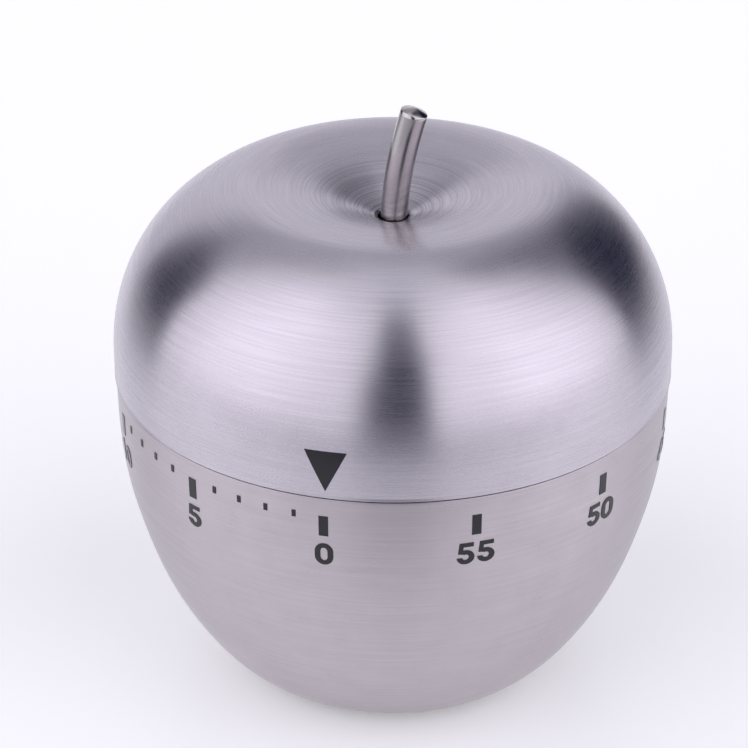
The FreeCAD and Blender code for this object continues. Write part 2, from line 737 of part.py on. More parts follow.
def barrel_cover():
    low = BARREL_Z[1]
    lid = ring(ARBOR_TOP_R + 0.1, BARREL_R + BARREL_WALL + COVER_RIM, low, low + BARREL_WALL)
    depth, width, height = STOP_LUG
    lug = block(-depth / 2, -width / 2, depth / 2, width / 2, low, low + BARREL_WALL + height)
    lug.rotate(ORIGIN, UP, STOP_AT + (360 - TRAVEL) / 2)
    lug.translate(polar(STOP_R, STOP_AT + (360 - TRAVEL) / 2))
    return lid.fuse(lug).removeSplitter()


def mainspring():
    """A flat strip wound in a spiral of half circles, whose centre steps from side to side."""
    low, high = SPRING_Z
    inner, outer = SPRING_R
    halves = 2 * SPRING_TURNS
    growth = (outer - SPRING_STRIP - inner) / halves
    sides = []
    for thick in (0, SPRING_STRIP):
        for i in range(halves):
            way = 1 - 2 * (i % 2)
            centre = V(growth * (i % 2), 0, low)
            radius = inner + thick + growth * i
            ends = [centre + V(way * radius, 0, 0), centre - V(way * radius, 0, 0)]
            sides.append(Part.Arc(ends[0], centre + V(0, way * radius, 0), ends[1]).toShape())
    first, last = (sides[0], sides[halves]), (sides[halves - 1], sides[-1])
    start = Part.makeLine(first[0].firstVertex().Point, first[1].firstVertex().Point)
    finish = Part.makeLine(last[0].lastVertex().Point, last[1].lastVertex().Point)
    outline = Part.Wire(Part.__sortEdges__(sides + [start, finish]))
    return Part.Face(outline).extrude(V(0, 0, high - low))


# ---- cam, stops and release lever

def cam_disc():
    middle = NOSE_AT[1] - NOTCH_BACK
    floor_r = CAM_R - NOTCH_DEPTH
    outside_r = CAM_R + NOTCH_DEPTH
    points = []
    for radius, half in ((floor_r, -NOTCH_HALF), (outside_r, -NOTCH_MOUTH), (outside_r, NOTCH_MOUTH),
                         (floor_r, NOTCH_HALF)):
        points.append(polar(radius, middle + half))
    notch = prism([(p.x, p.y) for p in points], *CAM_Z)
    half = SQUARE / 2 + FIT
    return cylinder(CAM_R, *CAM_Z).cut(notch).cut(block(-half, -half, half, half, *CAM_Z))


def stop_pin():
    return cylinder(STOP_PIN_R, BARREL_Z[1] + BARREL_WALL + 0.2, CAM_Z[0], polar(STOP_R, STOP_AT))


def release_arbor():
    pivot = cylinder(PIVOT_R, BOTTOM_PLATE[1], BOTTOM_PLATE[2] + END_SHAKE, RELEASE)
    return pivot.fuse(cylinder(ARBOR_R, BOTTOM_PLATE[2] + END_SHAKE, CAM_Z[1], RELEASE)).removeSplitter()


def lever_on(at, far, width, span):
    hub = cylinder(ARBOR_R * 2, *span, at)
    return hub.fuse(link(at, far, width, *span)).cut(cylinder(ARBOR_R + FIT, *span, at)).removeSplitter()


def release_arm():
    return lever_on(RELEASE, polar(*NOSE_AT), LEVER_W, CAM_Z)


def block_arm():
    return lever_on(RELEASE, RELEASE + V(0, BLOCK_REACH, 0), TAIL_W, STRIKE_Z)


# ---- strike

def hammer_arbor():
    body = cylinder(ARBOR_R, HAMMER_ARM_Z[0], TOP_PLATE[1] - END_SHAKE, HAMMER)
    return body.fuse(cylinder(PIVOT_R, TOP_PLATE[1] - END_SHAKE, TOP_PLATE[2], HAMMER)).removeSplitter()


def hammer_tail():
    way = (SECOND - HAMMER).normalize()
    reach = (SECOND - HAMMER).Length - STAR_R[1] - TAIL_ROOM - TAIL_W / 2
    tail = lever_on(HAMMER, HAMMER + way * reach, TAIL_W, STRIKE_Z)
    counter = lever_on(HAMMER, HAMMER - way * COUNTER_TAIL, TAIL_W, STRIKE_Z)
    return tail.fuse(counter).removeSplitter()


def hammer_head_point():
    return HAMMER + polar(HAMMER_REACH, HAMMER_WAY)


def hammer_arm():
    arm = lever_on(HAMMER, hammer_head_point(), TAIL_W, HAMMER_ARM_Z)
    return arm.cut(cylinder(HAMMER_RIVET_R + FIT, *HAMMER_ARM_Z, hammer_head_point()))


def hammer_head():
    """A brass puck in two flanges, riveted through the arm's end."""
    radius, low, high = HAMMER_HEAD
    at = hammer_head_point()
    waist = cylinder(HAMMER_RIVET_R, low, high, at)
    flanges = [cylinder(radius, low, HAMMER_ARM_Z[0], at), cylinder(radius, HAMMER_ARM_Z[1], high, at)]
    return waist.fuse(flanges).removeSplitter()


def bell():
    wall = skin_band(BELL_LINE, BELL_ENDS, 0, BELL_WALL)
    inner_r, low = BELL_LINE[0]
    return wall.fuse(ring(BELL_HOLE_R, inner_r, low, low + BELL_WALL)).removeSplitter()


def bell_post():
    radius, flange_r, flange_z = BELL_POST
    low = BELL_LINE[0][1] + BELL_WALL
    body = cylinder(radius, low, flange_z).fuse(cylinder(flange_r, flange_z, BOTTOM_PLATE[1]))
    return body.cut(cylinder(BELL_SCREW[0] + FIT, low, BELL_SCREW[3] + 0.3)).removeSplitter()


def bell_screw():
    radius, head_r, head_h, top = BELL_SCREW
    low = BELL_LINE[0][1]
    slot = block(-head_r, -SLOT / 2, head_r, SLOT / 2, low - head_h, low - head_h + SLOT)
    return cylinder(head_r, low - head_h, low).cut(slot).fuse(cylinder(radius, low, top)).removeSplitter()


PARTS = {
    "upper_shell": upper_shell, "upper_liner": upper_liner, "stem": stem, "stem_nut": stem_nut,
    "pointer_mark": pointer_mark, "lower_shell": lower_shell, "lower_liner": lower_liner,
    "minute_scale": minute_scale, "base_cover": base_cover, "base_screws": base_screws,
    "foot_ring": foot_ring, "bottom_plate": bottom_plate, "top_plate": top_plate,
    "plate_pillars": plate_pillars, "pillar_nuts": pillar_nuts, "movement_screws": movement_screws,
    "main_arbor": main_arbor, "main_wheel": main_wheel, "ratchet_washer": ratchet_washer,
    "spring_collet": spring_collet, "mainspring": mainspring, "spring_barrel": spring_barrel,
    "barrel_cover": barrel_cover, "cam_disc": cam_disc, "stop_pin": stop_pin,
    "second_wheel": second_wheel, "strike_star": strike_star, "third_wheel": third_wheel,
    "escape_wheel": escape_wheel, "verge_lever": verge_lever, "pallet_pins": pallet_pins,
    "inertia_bar": inertia_bar, "release_arbor": release_arbor, "release_arm": release_arm,
    "block_arm": block_arm, "hammer_arbor": hammer_arbor, "hammer_tail": hammer_tail,
    "hammer_arm": hammer_arm, "hammer_head": hammer_head, "bell": bell, "bell_post": bell_post,
    "bell_screw": bell_screw,
}
for name, make in PARTS.items():
    save(name, make())

save("second_arbor", pinion_arbor(PAIR_1, PINION_2_Z, pinion_turn(PAIR_1, WAY_1), SECOND))
save("third_arbor", pinion_arbor(PAIR_2, PINION_3_Z, pinion_turn(PAIR_2, WAY_2), THIRD))
save("escape_arbor", pinion_arbor(PAIR_3, PINION_E_Z, pinion_turn(PAIR_3, WAY_3), ESCAPE))
save("verge_arbor", plain_arbor(VERGE))
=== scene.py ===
import math

import bmesh
import bpy
import numpy as np
from mathutils import Matrix, Vector


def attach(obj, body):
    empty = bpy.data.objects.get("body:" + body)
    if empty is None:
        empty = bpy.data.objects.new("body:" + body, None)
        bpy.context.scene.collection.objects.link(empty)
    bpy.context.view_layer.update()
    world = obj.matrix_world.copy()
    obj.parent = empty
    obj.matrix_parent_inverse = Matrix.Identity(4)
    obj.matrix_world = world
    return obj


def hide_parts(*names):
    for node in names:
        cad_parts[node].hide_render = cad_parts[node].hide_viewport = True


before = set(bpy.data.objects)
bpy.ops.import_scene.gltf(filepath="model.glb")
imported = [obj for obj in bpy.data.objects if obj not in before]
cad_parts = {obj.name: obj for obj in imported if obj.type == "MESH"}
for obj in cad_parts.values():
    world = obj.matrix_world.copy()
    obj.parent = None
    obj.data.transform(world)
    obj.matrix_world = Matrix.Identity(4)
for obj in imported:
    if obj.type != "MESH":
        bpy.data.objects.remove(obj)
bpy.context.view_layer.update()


# ---- Lower shell
# The bowl of the timer: stainless steel sheet, half a millimetre thick, deep-drawn, turned in on a
# lathe and brushed round and round with a fine belt. Its foot is folded in to a flat lip, and it is
# glued and snapped over the moulded liner.

MM = 0.001
SHEET = 0.5
SEAM_Z = 37.0
SEAM_GAP = 0.14
LOWER_LINE = [(30.8, SEAM_Z - SEAM_GAP), (30.68, 31.2), (30.1, 25.6), (28.7, 19.7), (26.6, 13.6),
              (23.3, 7.4), (19.5, 2.75), (17.6, 1.4), (16.2, 1.0)]
LOWER_ENDS = ((0, -1), (-1, 0))
LIP_R = 14.8
BRIM_ROUND = 0.08
BRIM_WORN = 0.06
TURNING = "turning"
ROUND_STEPS = 288
MERGE_M = 1e-7
ROW_STEP = 0.42
LIP_ROWS = 4
RUN_STEPS = 60


def turned_line(points, ends, step=ROW_STEP):
    """Even points on the smooth line through a shell's sizes. ends are its directions there."""
    knots = np.array(points, float)
    run = np.linalg.norm(np.diff(knots, axis=0), axis=1)
    slope = np.diff(knots, axis=0) / run[:, None]
    count = len(knots)
    matrix = np.eye(count)
    right = np.zeros((count, 2))
    right[0], right[-1] = (np.array(end) / np.linalg.norm(end) for end in ends)
    for i in range(1, count - 1):
        matrix[i, i - 1:i + 2] = run[i], 2 * (run[i - 1] + run[i]), run[i - 1]
        right[i] = 3 * (run[i] * slope[i - 1] + run[i - 1] * slope[i])
    way = np.linalg.solve(matrix, right)
    fine = []
    for i, length in enumerate(run):
        t = np.linspace(0, 1, RUN_STEPS)[:, None]
        blend = t * t * (3 - 2 * t)
        bow = way[i] * t * (1 - t) ** 2 - way[i + 1] * t * t * (1 - t)
        fine.extend(knots[i] + (knots[i + 1] - knots[i]) * blend + bow * length)
    fine = np.array(fine)
    along = np.append(0, np.cumsum(np.linalg.norm(np.diff(fine, axis=0), axis=1)))
    wanted = np.linspace(0, along[-1], max(2, round(along[-1] / step)) + 1)
    return np.column_stack([np.interp(wanted, along, fine[:, axis]) for axis in (0, 1)])


def inside_of(line, depth):
    """The same line moved a depth to its right. The lower line runs down, so that is into the sheet."""
    way = np.gradient(line, axis=0)
    way /= np.linalg.norm(way, axis=1)[:, None]
    return line + np.column_stack([way[:, 1], -way[:, 0]]) * depth


def edge_round(first, last, centre, steps=4):
    """Points of a rounded edge between two corners, without the corners themselves."""
    a, b = (math.atan2(p[1] - centre[1], p[0] - centre[0]) for p in (first, last))
    if abs(b - a) > math.pi:
        b += math.tau * (1 if a > b else -1)
    reach = (math.dist(first, centre) + math.dist(last, centre)) / 2
    turns = [a + (b - a) * i / steps for i in range(1, steps)]
    return [(centre[0] + reach * math.cos(t), centre[1] + reach * math.sin(t)) for t in turns]


def add(tree, kind, inputs=None, **settings):
    """Adds a node with its settings, and sets or links its inputs by name or number."""
    node = tree.nodes.new(kind)
    for name, value in settings.items():
        setattr(node, name, value)
    for socket, value in (inputs or {}).items():
        if isinstance(value, bpy.types.NodeSocket):
            tree.links.new(value, node.inputs[socket])
        else:
            node.inputs[socket].default_value = value
    return node


def turning_tree():
    """Nodes that turn a chain of points round the Z axis, as a lathe or a spinning press would."""
    tree = bpy.data.node_groups.new("turned_on_a_lathe", "GeometryNodeTree")
    ways = {"Outline": ("INPUT", "NodeSocketGeometry"), "Steps Round": ("INPUT", "NodeSocketInt"),
            "Finish": ("INPUT", "NodeSocketMaterial"), "Piece": ("OUTPUT", "NodeSocketGeometry")}
    for name, (way, kind) in ways.items():
        tree.interface.new_socket(name, in_out=way, socket_type=kind)
    given = add(tree, "NodeGroupInput").outputs
    size = add(tree, "GeometryNodeAttributeDomainSize", {0: given["Outline"]})
    rows = size.outputs["Point Count"]
    columns = add(tree, "ShaderNodeMath", {0: given["Steps Round"], 1: 1.0},
                  operation="ADD").outputs[0]
    grid = add(tree, "GeometryNodeMeshGrid", {"Vertices X": columns, "Vertices Y": rows}).outputs
    index = add(tree, "GeometryNodeInputIndex").outputs[0]
    row = add(tree, "FunctionNodeIntegerMath", {0: index, 1: rows},
              operation="MODULO").outputs[0]
    column = add(tree, "FunctionNodeIntegerMath", {0: index, 1: rows},
                 operation="DIVIDE_FLOOR").outputs[0]
    place = add(tree, "GeometryNodeSampleIndex", {"Geometry": given["Outline"], "Index": row},
                data_type="FLOAT_VECTOR")
    tree.links.new(add(tree, "GeometryNodeInputPosition").outputs[0], place.inputs["Value"])
    along = add(tree, "GeometryNodeSampleIndex", {"Geometry": given["Outline"], "Index": row},
                data_type="FLOAT")
    named = add(tree, "GeometryNodeInputNamedAttribute", {"Name": "along"}, data_type="FLOAT")
    tree.links.new(named.outputs["Attribute"], along.inputs["Value"])
    part = add(tree, "ShaderNodeMath", {0: column, 1: given["Steps Round"]},
               operation="DIVIDE").outputs[0]
    angle = add(tree, "ShaderNodeMath", {0: part, 1: math.tau}, operation="MULTIPLY").outputs[0]
    turned = add(tree, "ShaderNodeVectorRotate", {"Vector": place.outputs[0], "Angle": angle},
                 rotation_type="Z_AXIS").outputs[0]
    flat = add(tree, "ShaderNodeCombineXYZ", {"X": part, "Y": along.outputs[0]}).outputs[0]
    kept = add(tree, "GeometryNodeCaptureAttribute", {"Geometry": grid["Mesh"]})
    kept.capture_items.new("VECTOR", "Flat")
    tree.links.new(flat, kept.inputs["Flat"])
    moved = add(tree, "GeometryNodeSetPosition",
                {"Geometry": kept.outputs["Geometry"], "Position": turned})
    mapped = add(tree, "GeometryNodeStoreNamedAttribute",
                 {"Geometry": moved.outputs[0], "Name": TURNING, "Value": kept.outputs["Flat"]},
                 data_type="FLOAT2", domain="CORNER")
    closed = add(tree, "GeometryNodeMergeByDistance",
                 {"Geometry": mapped.outputs[0], "Distance": MERGE_M})
    smooth = add(tree, "GeometryNodeSetShadeSmooth", {"Geometry": closed.outputs[0]})
    real = add(tree, "GeometryNodeRealizeInstances", {"Geometry": smooth.outputs[0]})
    finish = add(tree, "GeometryNodeSetMaterial",
                 {"Geometry": real.outputs[0], "Material": given["Finish"]})
    add(tree, "NodeGroupOutput", {"Piece": finish.outputs[0]})
    return tree


lathe = turning_tree()


def turn(name, outline, finish, steps=ROUND_STEPS):
    """A closed turned piece from its outline in millimetres: (radius, height), outer face first."""
    outline = np.array(outline, float)
    chain = bpy.data.meshes.new(name + "_outline")
    ends = [(i, i + 1) for i in range(len(outline) - 1)]
    chain.from_pydata([(r * MM, 0.0, z * MM) for r, z in outline], ends, [])
    along = np.append(0, np.cumsum(np.linalg.norm(np.diff(outline, axis=0), axis=1)))
    chain.attributes.new("along", "FLOAT", "POINT").data.foreach_set("value", along)
    blank = bpy.data.objects.new(name + "_blank", chain)
    bpy.context.scene.collection.objects.link(blank)
    turner = blank.modifiers.new("lathe", "NODES")
    turner.node_group = lathe
    sockets = lathe.interface.items_tree
    given = {item.name: item.identifier for item in sockets if item.in_out == "INPUT"}
    turner[given["Steps Round"]] = steps
    turner[given["Finish"]] = finish
    shop = bpy.context.evaluated_depsgraph_get()
    mesh = bpy.data.meshes.new_from_object(blank.evaluated_get(shop), depsgraph=shop,
                                           preserve_all_data_layers=True)
    bpy.data.objects.remove(blank)
    mesh.name = name
    outward(mesh)
    piece = bpy.data.objects.new(name, mesh)
    bpy.context.scene.collection.objects.link(piece)
    return piece


def outward(mesh):
    """Turns every face of a closed mesh outwards, if they all point inwards."""
    shape = bmesh.new()
    shape.from_mesh(mesh)
    if shape.calc_volume(signed=True) < 0:
        bmesh.ops.reverse_faces(shape, faces=shape.faces)
        shape.to_mesh(mesh)
    shape.free()


def linear(code):
    """An sRGB hex colour as linear red, green, blue and alpha."""
    parts = [int(code[i:i + 2], 16) / 255 for i in (1, 3, 5)]
    return (*[c / 12.92 if c <= 0.04045 else ((c + 0.055) / 1.055) ** 2.4 for c in parts], 1.0)


def new_material(name, code, **constants):
    """A material, its tree and its surface shader. constants are its inputs, with _ for a space."""
    made = bpy.data.materials.new(name)
    made.use_nodes = True
    tree = made.node_tree
    tree.nodes.clear()
    values = {key.replace("_", " "): value for key, value in constants.items()}
    shader = add(tree, "ShaderNodeBsdfPrincipled", {"Base Color": linear(code), **values})
    add(tree, "ShaderNodeOutputMaterial", {"Surface": shader.outputs[0]})
    return made, tree, shader


# Grooves are (length in radii, spacing in millimetres). The real ones of a fine belt are 0.02 to
# 0.1 mm apart, which is too fine to show, so FINE_GROOVES are drawn as coarse as they need.
FINE_GROOVES = (0.45, 0.19)
COARSE_GROOVES = (0.9, 1.6)
COARSE_DEPTH = 2.2
RING_GROOVES = (4.0, 0.3)
RING_DEPTH = 7.0
RING_SHADE = -0.55
RINGS_FULL_R = 3.0
RINGS_GONE_R = 13.0
SMOOTHEST = 0.19
GROOVE_ROUGH = 0.12
GROOVE_SHADE = 0.88
GROOVE_SPAN = (0.38, 0.62)
RING_SPAN = (0.4, 0.62)
STAIN_SCALE = 260.0
# The darker steel tone below serves real stains and also the painted shade in the grooves.
STEEL_STAIN_AND_GROOVE_SHADE = "#8f8a92"


def brushed_stainless(name, code, groove_um, mottle):
    """Brushed stainless steel. The belt leaves grooves round the shell, so a light smears across
    them and fans out on a curve. Nearer the stem the rings that the spinning tool left show too."""
    made, tree, shader = new_material(name, code, Metallic=1.0, Anisotropic=0.84,
                                      Anisotropic_Rotation=0.25)
    flat = add(tree, "ShaderNodeUVMap", uv_map=TURNING).outputs[0]
    part = add(tree, "ShaderNodeSeparateXYZ", {0: flat}).outputs
    angle = add(tree, "ShaderNodeMath", {0: part["X"], 1: math.tau}, operation="MULTIPLY").outputs[0]
    east = add(tree, "ShaderNodeMath", {0: angle}, operation="COSINE").outputs[0]
    north = add(tree, "ShaderNodeMath", {0: angle}, operation="SINE").outputs[0]
    ways = add(tree, "ShaderNodeCombineXYZ", {"X": east, "Y": north, "Z": part["Y"]}).outputs[0]

    def grooves(length, spacing, detail):
        """Noise drawn out round the shell: length in radii, spacing in millimetres."""
        stretch = (1 / length, 1 / length, 1 / spacing)
        drawn = add(tree, "ShaderNodeMapping", {"Vector": ways, "Scale": stretch}).outputs[0]
        return add(tree, "ShaderNodeTexNoise",
                   {"Vector": drawn, "Scale": 1.0, "Detail": detail, "Roughness": 0.6}).outputs["Fac"]

    fine = grooves(*FINE_GROOVES, 2.0)
    coarse = grooves(*COARSE_GROOVES, 2.0)
    rings = grooves(*RING_GROOVES, 1.0)
    spots = add(tree, "ShaderNodeTexCoord").outputs["Object"]
    cloud = add(tree, "ShaderNodeTexNoise",
                {"Vector": spots, "Scale": STAIN_SCALE, "Detail": 3.0}).outputs["Fac"]
    level = add(tree, "ShaderNodeVectorMath", {0: spots, 1: (1.0, 1.0, 0.0)},
                operation="MULTIPLY").outputs[0]
    reach = add(tree, "ShaderNodeVectorMath", {0: level}, operation="LENGTH").outputs["Value"]
    near = add(tree, "ShaderNodeMapRange",
               {"Value": reach, "From Min": RINGS_FULL_R * MM, "From Max": RINGS_GONE_R * MM,
                "To Min": 1.0, "To Max": 0.0}).outputs[0]
    ridges = add(tree, "ShaderNodeMath", {0: near, 1: RING_DEPTH}, operation="MULTIPLY").outputs[0]
    brushed = add(tree, "ShaderNodeMath", {0: coarse, 1: COARSE_DEPTH, 2: fine},
                  operation="MULTIPLY_ADD").outputs[0]
    height = add(tree, "ShaderNodeMath", {0: rings, 1: ridges, 2: brushed},
                 operation="MULTIPLY_ADD").outputs[0]
    bump = add(tree, "ShaderNodeBump",
               {"Strength": 1.0, "Distance": groove_um * 1e-6, "Height": height}).outputs[0]
    rough = add(tree, "ShaderNodeMath", {0: fine, 1: GROOVE_ROUGH, 2: SMOOTHEST},
                operation="MULTIPLY_ADD").outputs[0]
    cloudy = add(tree, "ShaderNodeMath", {0: cloud, 1: mottle, 2: rough},
                 operation="MULTIPLY_ADD").outputs[0]
    tangent = add(tree, "ShaderNodeTangent", direction_type="UV_MAP", uv_map=TURNING).outputs[0]
    # Painted shade darkens the grooves a little, most in the turned rings by the stem.
    groove_shade = add(tree, "ShaderNodeMapRange",
                {"Value": fine, "From Min": GROOVE_SPAN[0], "From Max": GROOVE_SPAN[1],
                 "To Min": 1.0, "To Max": GROOVE_SHADE}).outputs[0]
    ring_shade = add(tree, "ShaderNodeMapRange",
                     {"Value": rings, "From Min": RING_SPAN[0], "From Max": RING_SPAN[1],
                      "To Max": RING_SHADE}).outputs[0]
    groove_and_ring_shade = add(tree, "ShaderNodeMath", {0: ring_shade, 1: near, 2: groove_shade},
                 operation="MULTIPLY_ADD").outputs[0]
    stained = add(tree, "ShaderNodeMapRange",
                  {"Value": cloud, "To Min": 1 - 2 * mottle, "To Max": 1 + mottle}).outputs[0]
    stain_and_groove_shade = add(tree, "ShaderNodeMath", {0: groove_and_ring_shade, 1: stained}, operation="MULTIPLY").outputs[0]
    tone = add(tree, "ShaderNodeMix",
               {"Factor": stain_and_groove_shade, "A": linear(STEEL_STAIN_AND_GROOVE_SHADE), "B": linear(code)}, data_type="RGBA")
    for socket, source in (("Normal", bump), ("Roughness", cloudy), ("Tangent", tangent),
                           ("Base Color", tone.outputs["Result"])):
        tree.links.new(source, shader.inputs[socket])
    return made


# The lower shell's steel is a slightly darker copy of the cap's steel, and that darker tone is painted
# shade.
lower_shaded_finish = brushed_stainless("brushed_stainless_lower_shaded", "#c4bdc1", groove_um=1.2, mottle=0.12)
outer = turned_line(LOWER_LINE, LOWER_ENDS)
lip_radii = np.linspace(LOWER_LINE[-1][0] - ROW_STEP, LIP_R, LIP_ROWS)
lip = np.column_stack([lip_radii, np.full(LIP_ROWS, LOWER_LINE[-1][1])])
outer = np.vstack([outer, lip])
inner = inside_of(outer, SHEET)[::-1]
brim = (LOWER_LINE[0][0] - BRIM_ROUND, LOWER_LINE[0][1] - BRIM_WORN)
outer[0] = (LOWER_LINE[0][0], brim[1] - BRIM_ROUND)
bend = edge_round(brim, outer[0], (brim[0], outer[0][1]))
inner[0] = (LIP_R, LOWER_LINE[-1][1] + SHEET)
inner[-1] = (LOWER_LINE[0][0] - SHEET, brim[1])
outline = np.vstack([[brim], bend, outer, inner[::2], inner[-1:], [brim]])
lower = turn("lower_bowl", outline, lower_shaded_finish)
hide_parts("lower_shell")
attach(lower, "base")


# ---- Liners and base cover
# Injection-moulded black ABS: the two liners carry the shells, and the cover closes the foot.
# A mould polished with coarse stone gives a faint even grain.

WEAR_SHARE = 0.12


def dress(finish, *nodes):
    """Gives carried-over nodes their finish."""
    for node in nodes:
        for material_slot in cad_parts[node].material_slots:
            material_slot.material = finish


def grained(name, code, grain_mm, height_um, rough, other, **constants):
    """A finish with one even grain: its size and height, a span of roughness, and a second tone
    in patches that are 1 / WEAR_SHARE times as wide as the grain."""
    made, tree, shader = new_material(name, code, **constants)
    spots = add(tree, "ShaderNodeTexCoord").outputs["Object"]
    per_grain = 1 / (grain_mm * MM)
    grain = add(tree, "ShaderNodeTexNoise",
                {"Vector": spots, "Scale": per_grain, "Detail": 3.0}).outputs["Fac"]
    wear = add(tree, "ShaderNodeTexNoise",
               {"Vector": spots, "Scale": WEAR_SHARE * per_grain, "Detail": 2.0}).outputs["Fac"]
    bump = add(tree, "ShaderNodeBump", {"Distance": height_um * 1e-6, "Height": grain}).outputs[0]
    tone = add(tree, "ShaderNodeMix",
               {"Factor": wear, "A": linear(code), "B": linear(other)}, data_type="RGBA")
    gloss = add(tree, "ShaderNodeMapRange",
                {"Value": grain, "To Min": rough[0], "To Max": rough[1]}).outputs[0]
    tree.links.new(bump, shader.inputs["Normal"])
    tree.links.new(tone.outputs["Result"], shader.inputs["Base Color"])
    tree.links.new(gloss, shader.inputs["Roughness"])
    return made


black_abs = grained("moulded_black_abs", "#1d1d1f", 0.4, 8.0, (0.42, 0.6), "#262628", IOR=1.54)
dress(black_abs, "lower_liner", "upper_liner", "base_cover")


# ---- Rubber foot
# A flat ring of black nitrile rubber pressed in a groove of the cover, so the timer doesn't slip
# when the cap is wound. Rubber is matt, with a fine bloom.

black_rubber = grained("nitrile_rubber", "#18181a", 0.6, 12.0, (0.75, 0.92), "#242426", IOR=1.52)
dress(black_rubber, "foot_ring")


# ---- Printed scale and pointer
# Blue-black ink, screen-printed straight on the steel and baked. The film is a few hundredths of a
# millimetre thick and dries semi-matt, slightly uneven.

baked_ink = grained("baked_screen_ink", "#0f0f16", 0.15, 1.0, (0.16, 0.3), "#14141c", IOR=1.5)
dress(baked_ink, "minute_scale", "pointer_mark")


# ---- Screws, plates, pillars, arbors and levers
# Turned or stamped mild steel with bright zinc plate: it spangles faintly and stays a little warm.
# Arbors are riveted or pressed into their levers.

zinc_plate = grained("zinc_plated_steel", "#b9b9b4", 0.5, 2.0, (0.26, 0.4), "#a5a6a3", Metallic=1.0)
dress(zinc_plate, "base_screws", "bottom_plate", "top_plate", "plate_pillars", "pillar_nuts",
      "movement_screws", "spring_barrel", "barrel_cover", "bell_post", "bell_screw", "stem_nut",
      "main_arbor", "spring_collet", "stop_pin", "second_arbor", "third_arbor", "escape_arbor",
      "verge_arbor", "verge_lever", "pallet_pins", "inertia_bar", "release_arbor", "release_arm",
      "block_arm", "hammer_arbor", "hammer_tail", "hammer_arm")


# ---- Mainspring and ratchet washer
# Hard carbon-steel strip, rolled and then blued in the oven, which leaves it darker in patches.
# The washer is stamped from the same strip.

blued_spring = grained("blued_spring_steel", "#565c6b", 0.8, 1.5, (0.22, 0.36), "#4a4a55",
                       Metallic=1.0)
dress(blued_spring, "mainspring", "ratchet_washer")


# ---- Brass wheels, star, cam and hammer head
# Stamped from half-hard sheet brass and tumbled, or turned from rod, and left bare, so it darkens
# unevenly.

bare_brass = grained("stamped_brass", "#d8b26a", 0.7, 2.0, (0.2, 0.38), "#bd9650", Metallic=1.0)
dress(bare_brass, "main_wheel", "second_wheel", "strike_star", "cam_disc", "hammer_head")


# ---- Plastic wheels
# The two light fast wheels are moulded in natural acetal, which needs no oil: milky, waxy and
# slightly translucent.

acetal = grained("natural_acetal", "#e6e3d8", 0.5, 4.0, (0.32, 0.45), "#dedacc", IOR=1.48,
                 Subsurface_Weight=0.15, Subsurface_Scale=0.001)
dress(acetal, "third_wheel", "escape_wheel")


# ---- Bell
# A cup pressed from hard steel and nickel-plated over its polish, held in its middle by one screw.

nickel_plate = grained("nickel_plated_bell", "#cfc9bd", 1.5, 1.0, (0.1, 0.2), "#c2bcb0",
                       Metallic=1.0)
dress(nickel_plate, "bell")


# ---- Upper shell
# The cap that is turned to set the time: the same steel sheet, spun to a dome with a deep dimple.
# The brush turns ever tighter towards the stem. The lower rim is rounded over, in a slight bead.

UPPER_LINE = [(31.0, SEAM_Z), (30.85, 42.3), (29.4, 47.8), (26.5, 52.6), (23.1, 55.8),
              (19.65, 57.8), (16.6, 58.6), (12.9, 58.3), (8.6, 57.5), (4.6, 56.0), (1.7, 54.8)]
UPPER_ENDS = ((0, 1), (-0.92, -0.39))
RIM_ROUND = 0.1
RIM_BEAD = 0.05
BEAD_FADE = 1.6

upper_finish = brushed_stainless("brushed_stainless_upper", "#cbc5cd", groove_um=1.4, mottle=0.05)
outer = turned_line(UPPER_LINE, UPPER_ENDS)
outer[:, 0] = np.minimum(outer[:, 0], UPPER_LINE[0][0])
inner = (outer * 2 - inside_of(outer, SHEET))[::-1]
outer[:, 0] -= RIM_BEAD * np.exp((SEAM_Z + RIM_ROUND - outer[:, 1]) / BEAD_FADE)
rim = (UPPER_LINE[0][0] - RIM_ROUND, SEAM_Z)
outer[0] = (UPPER_LINE[0][0], SEAM_Z + RIM_ROUND)
rim_bend = edge_round(rim, outer[0], (rim[0], outer[0][1]))
bead_foot = (UPPER_LINE[0][0] - RIM_BEAD, SEAM_Z + 2 * RIM_ROUND)
outer = np.insert(outer, 1, bead_foot, axis=0)
inner[-1] = (UPPER_LINE[0][0] - SHEET, SEAM_Z)
outline = np.vstack([[rim], rim_bend, outer, inner[::2], inner[-1:], [rim]])
upper = turn("upper_dome", outline, upper_finish)
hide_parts("upper_shell")
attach(upper, "cap")


# ---- Stem
# A 3 mm stainless rod, bent to one side, polished on a felt wheel, with a shallow cone faced on its
# end. A nut under the dimple holds it.

STEM_R = 1.5
STEM_LOW_Z = 43.6
BEND_Z = 52.0
BEND_R = 52.0
BEND_TURN = math.radians(16.8)
STEM_LEAN = math.radians(13.4)
STEM_CONE = 0.5
STEM_BREAK = 0.1
STEM_POINT_R = 0.2
STEM_ROWS = 60
STEM_STEPS = 64
SCUFF_SCALE = 900.0
SCUFF_DEPTH_M = 4e-7
ROD_ROUGH = (0.1, 0.22)

bright_rod, tree, shader = new_material("polished_stainless_rod", "#bab6b5", Metallic=1.0)
spots = add(tree, "ShaderNodeTexCoord").outputs["Object"]
scuffs = add(tree, "ShaderNodeTexNoise",
             {"Vector": spots, "Scale": SCUFF_SCALE, "Detail": 4.0}).outputs["Fac"]
bump = add(tree, "ShaderNodeBump", {"Distance": SCUFF_DEPTH_M, "Height": scuffs}).outputs[0]
tree.links.new(bump, shader.inputs["Normal"])
gloss = add(tree, "ShaderNodeMapRange",
            {"Value": scuffs, "To Min": ROD_ROUGH[0], "To Max": ROD_ROUGH[1]})
tree.links.new(gloss.outputs[0], shader.inputs["Roughness"])

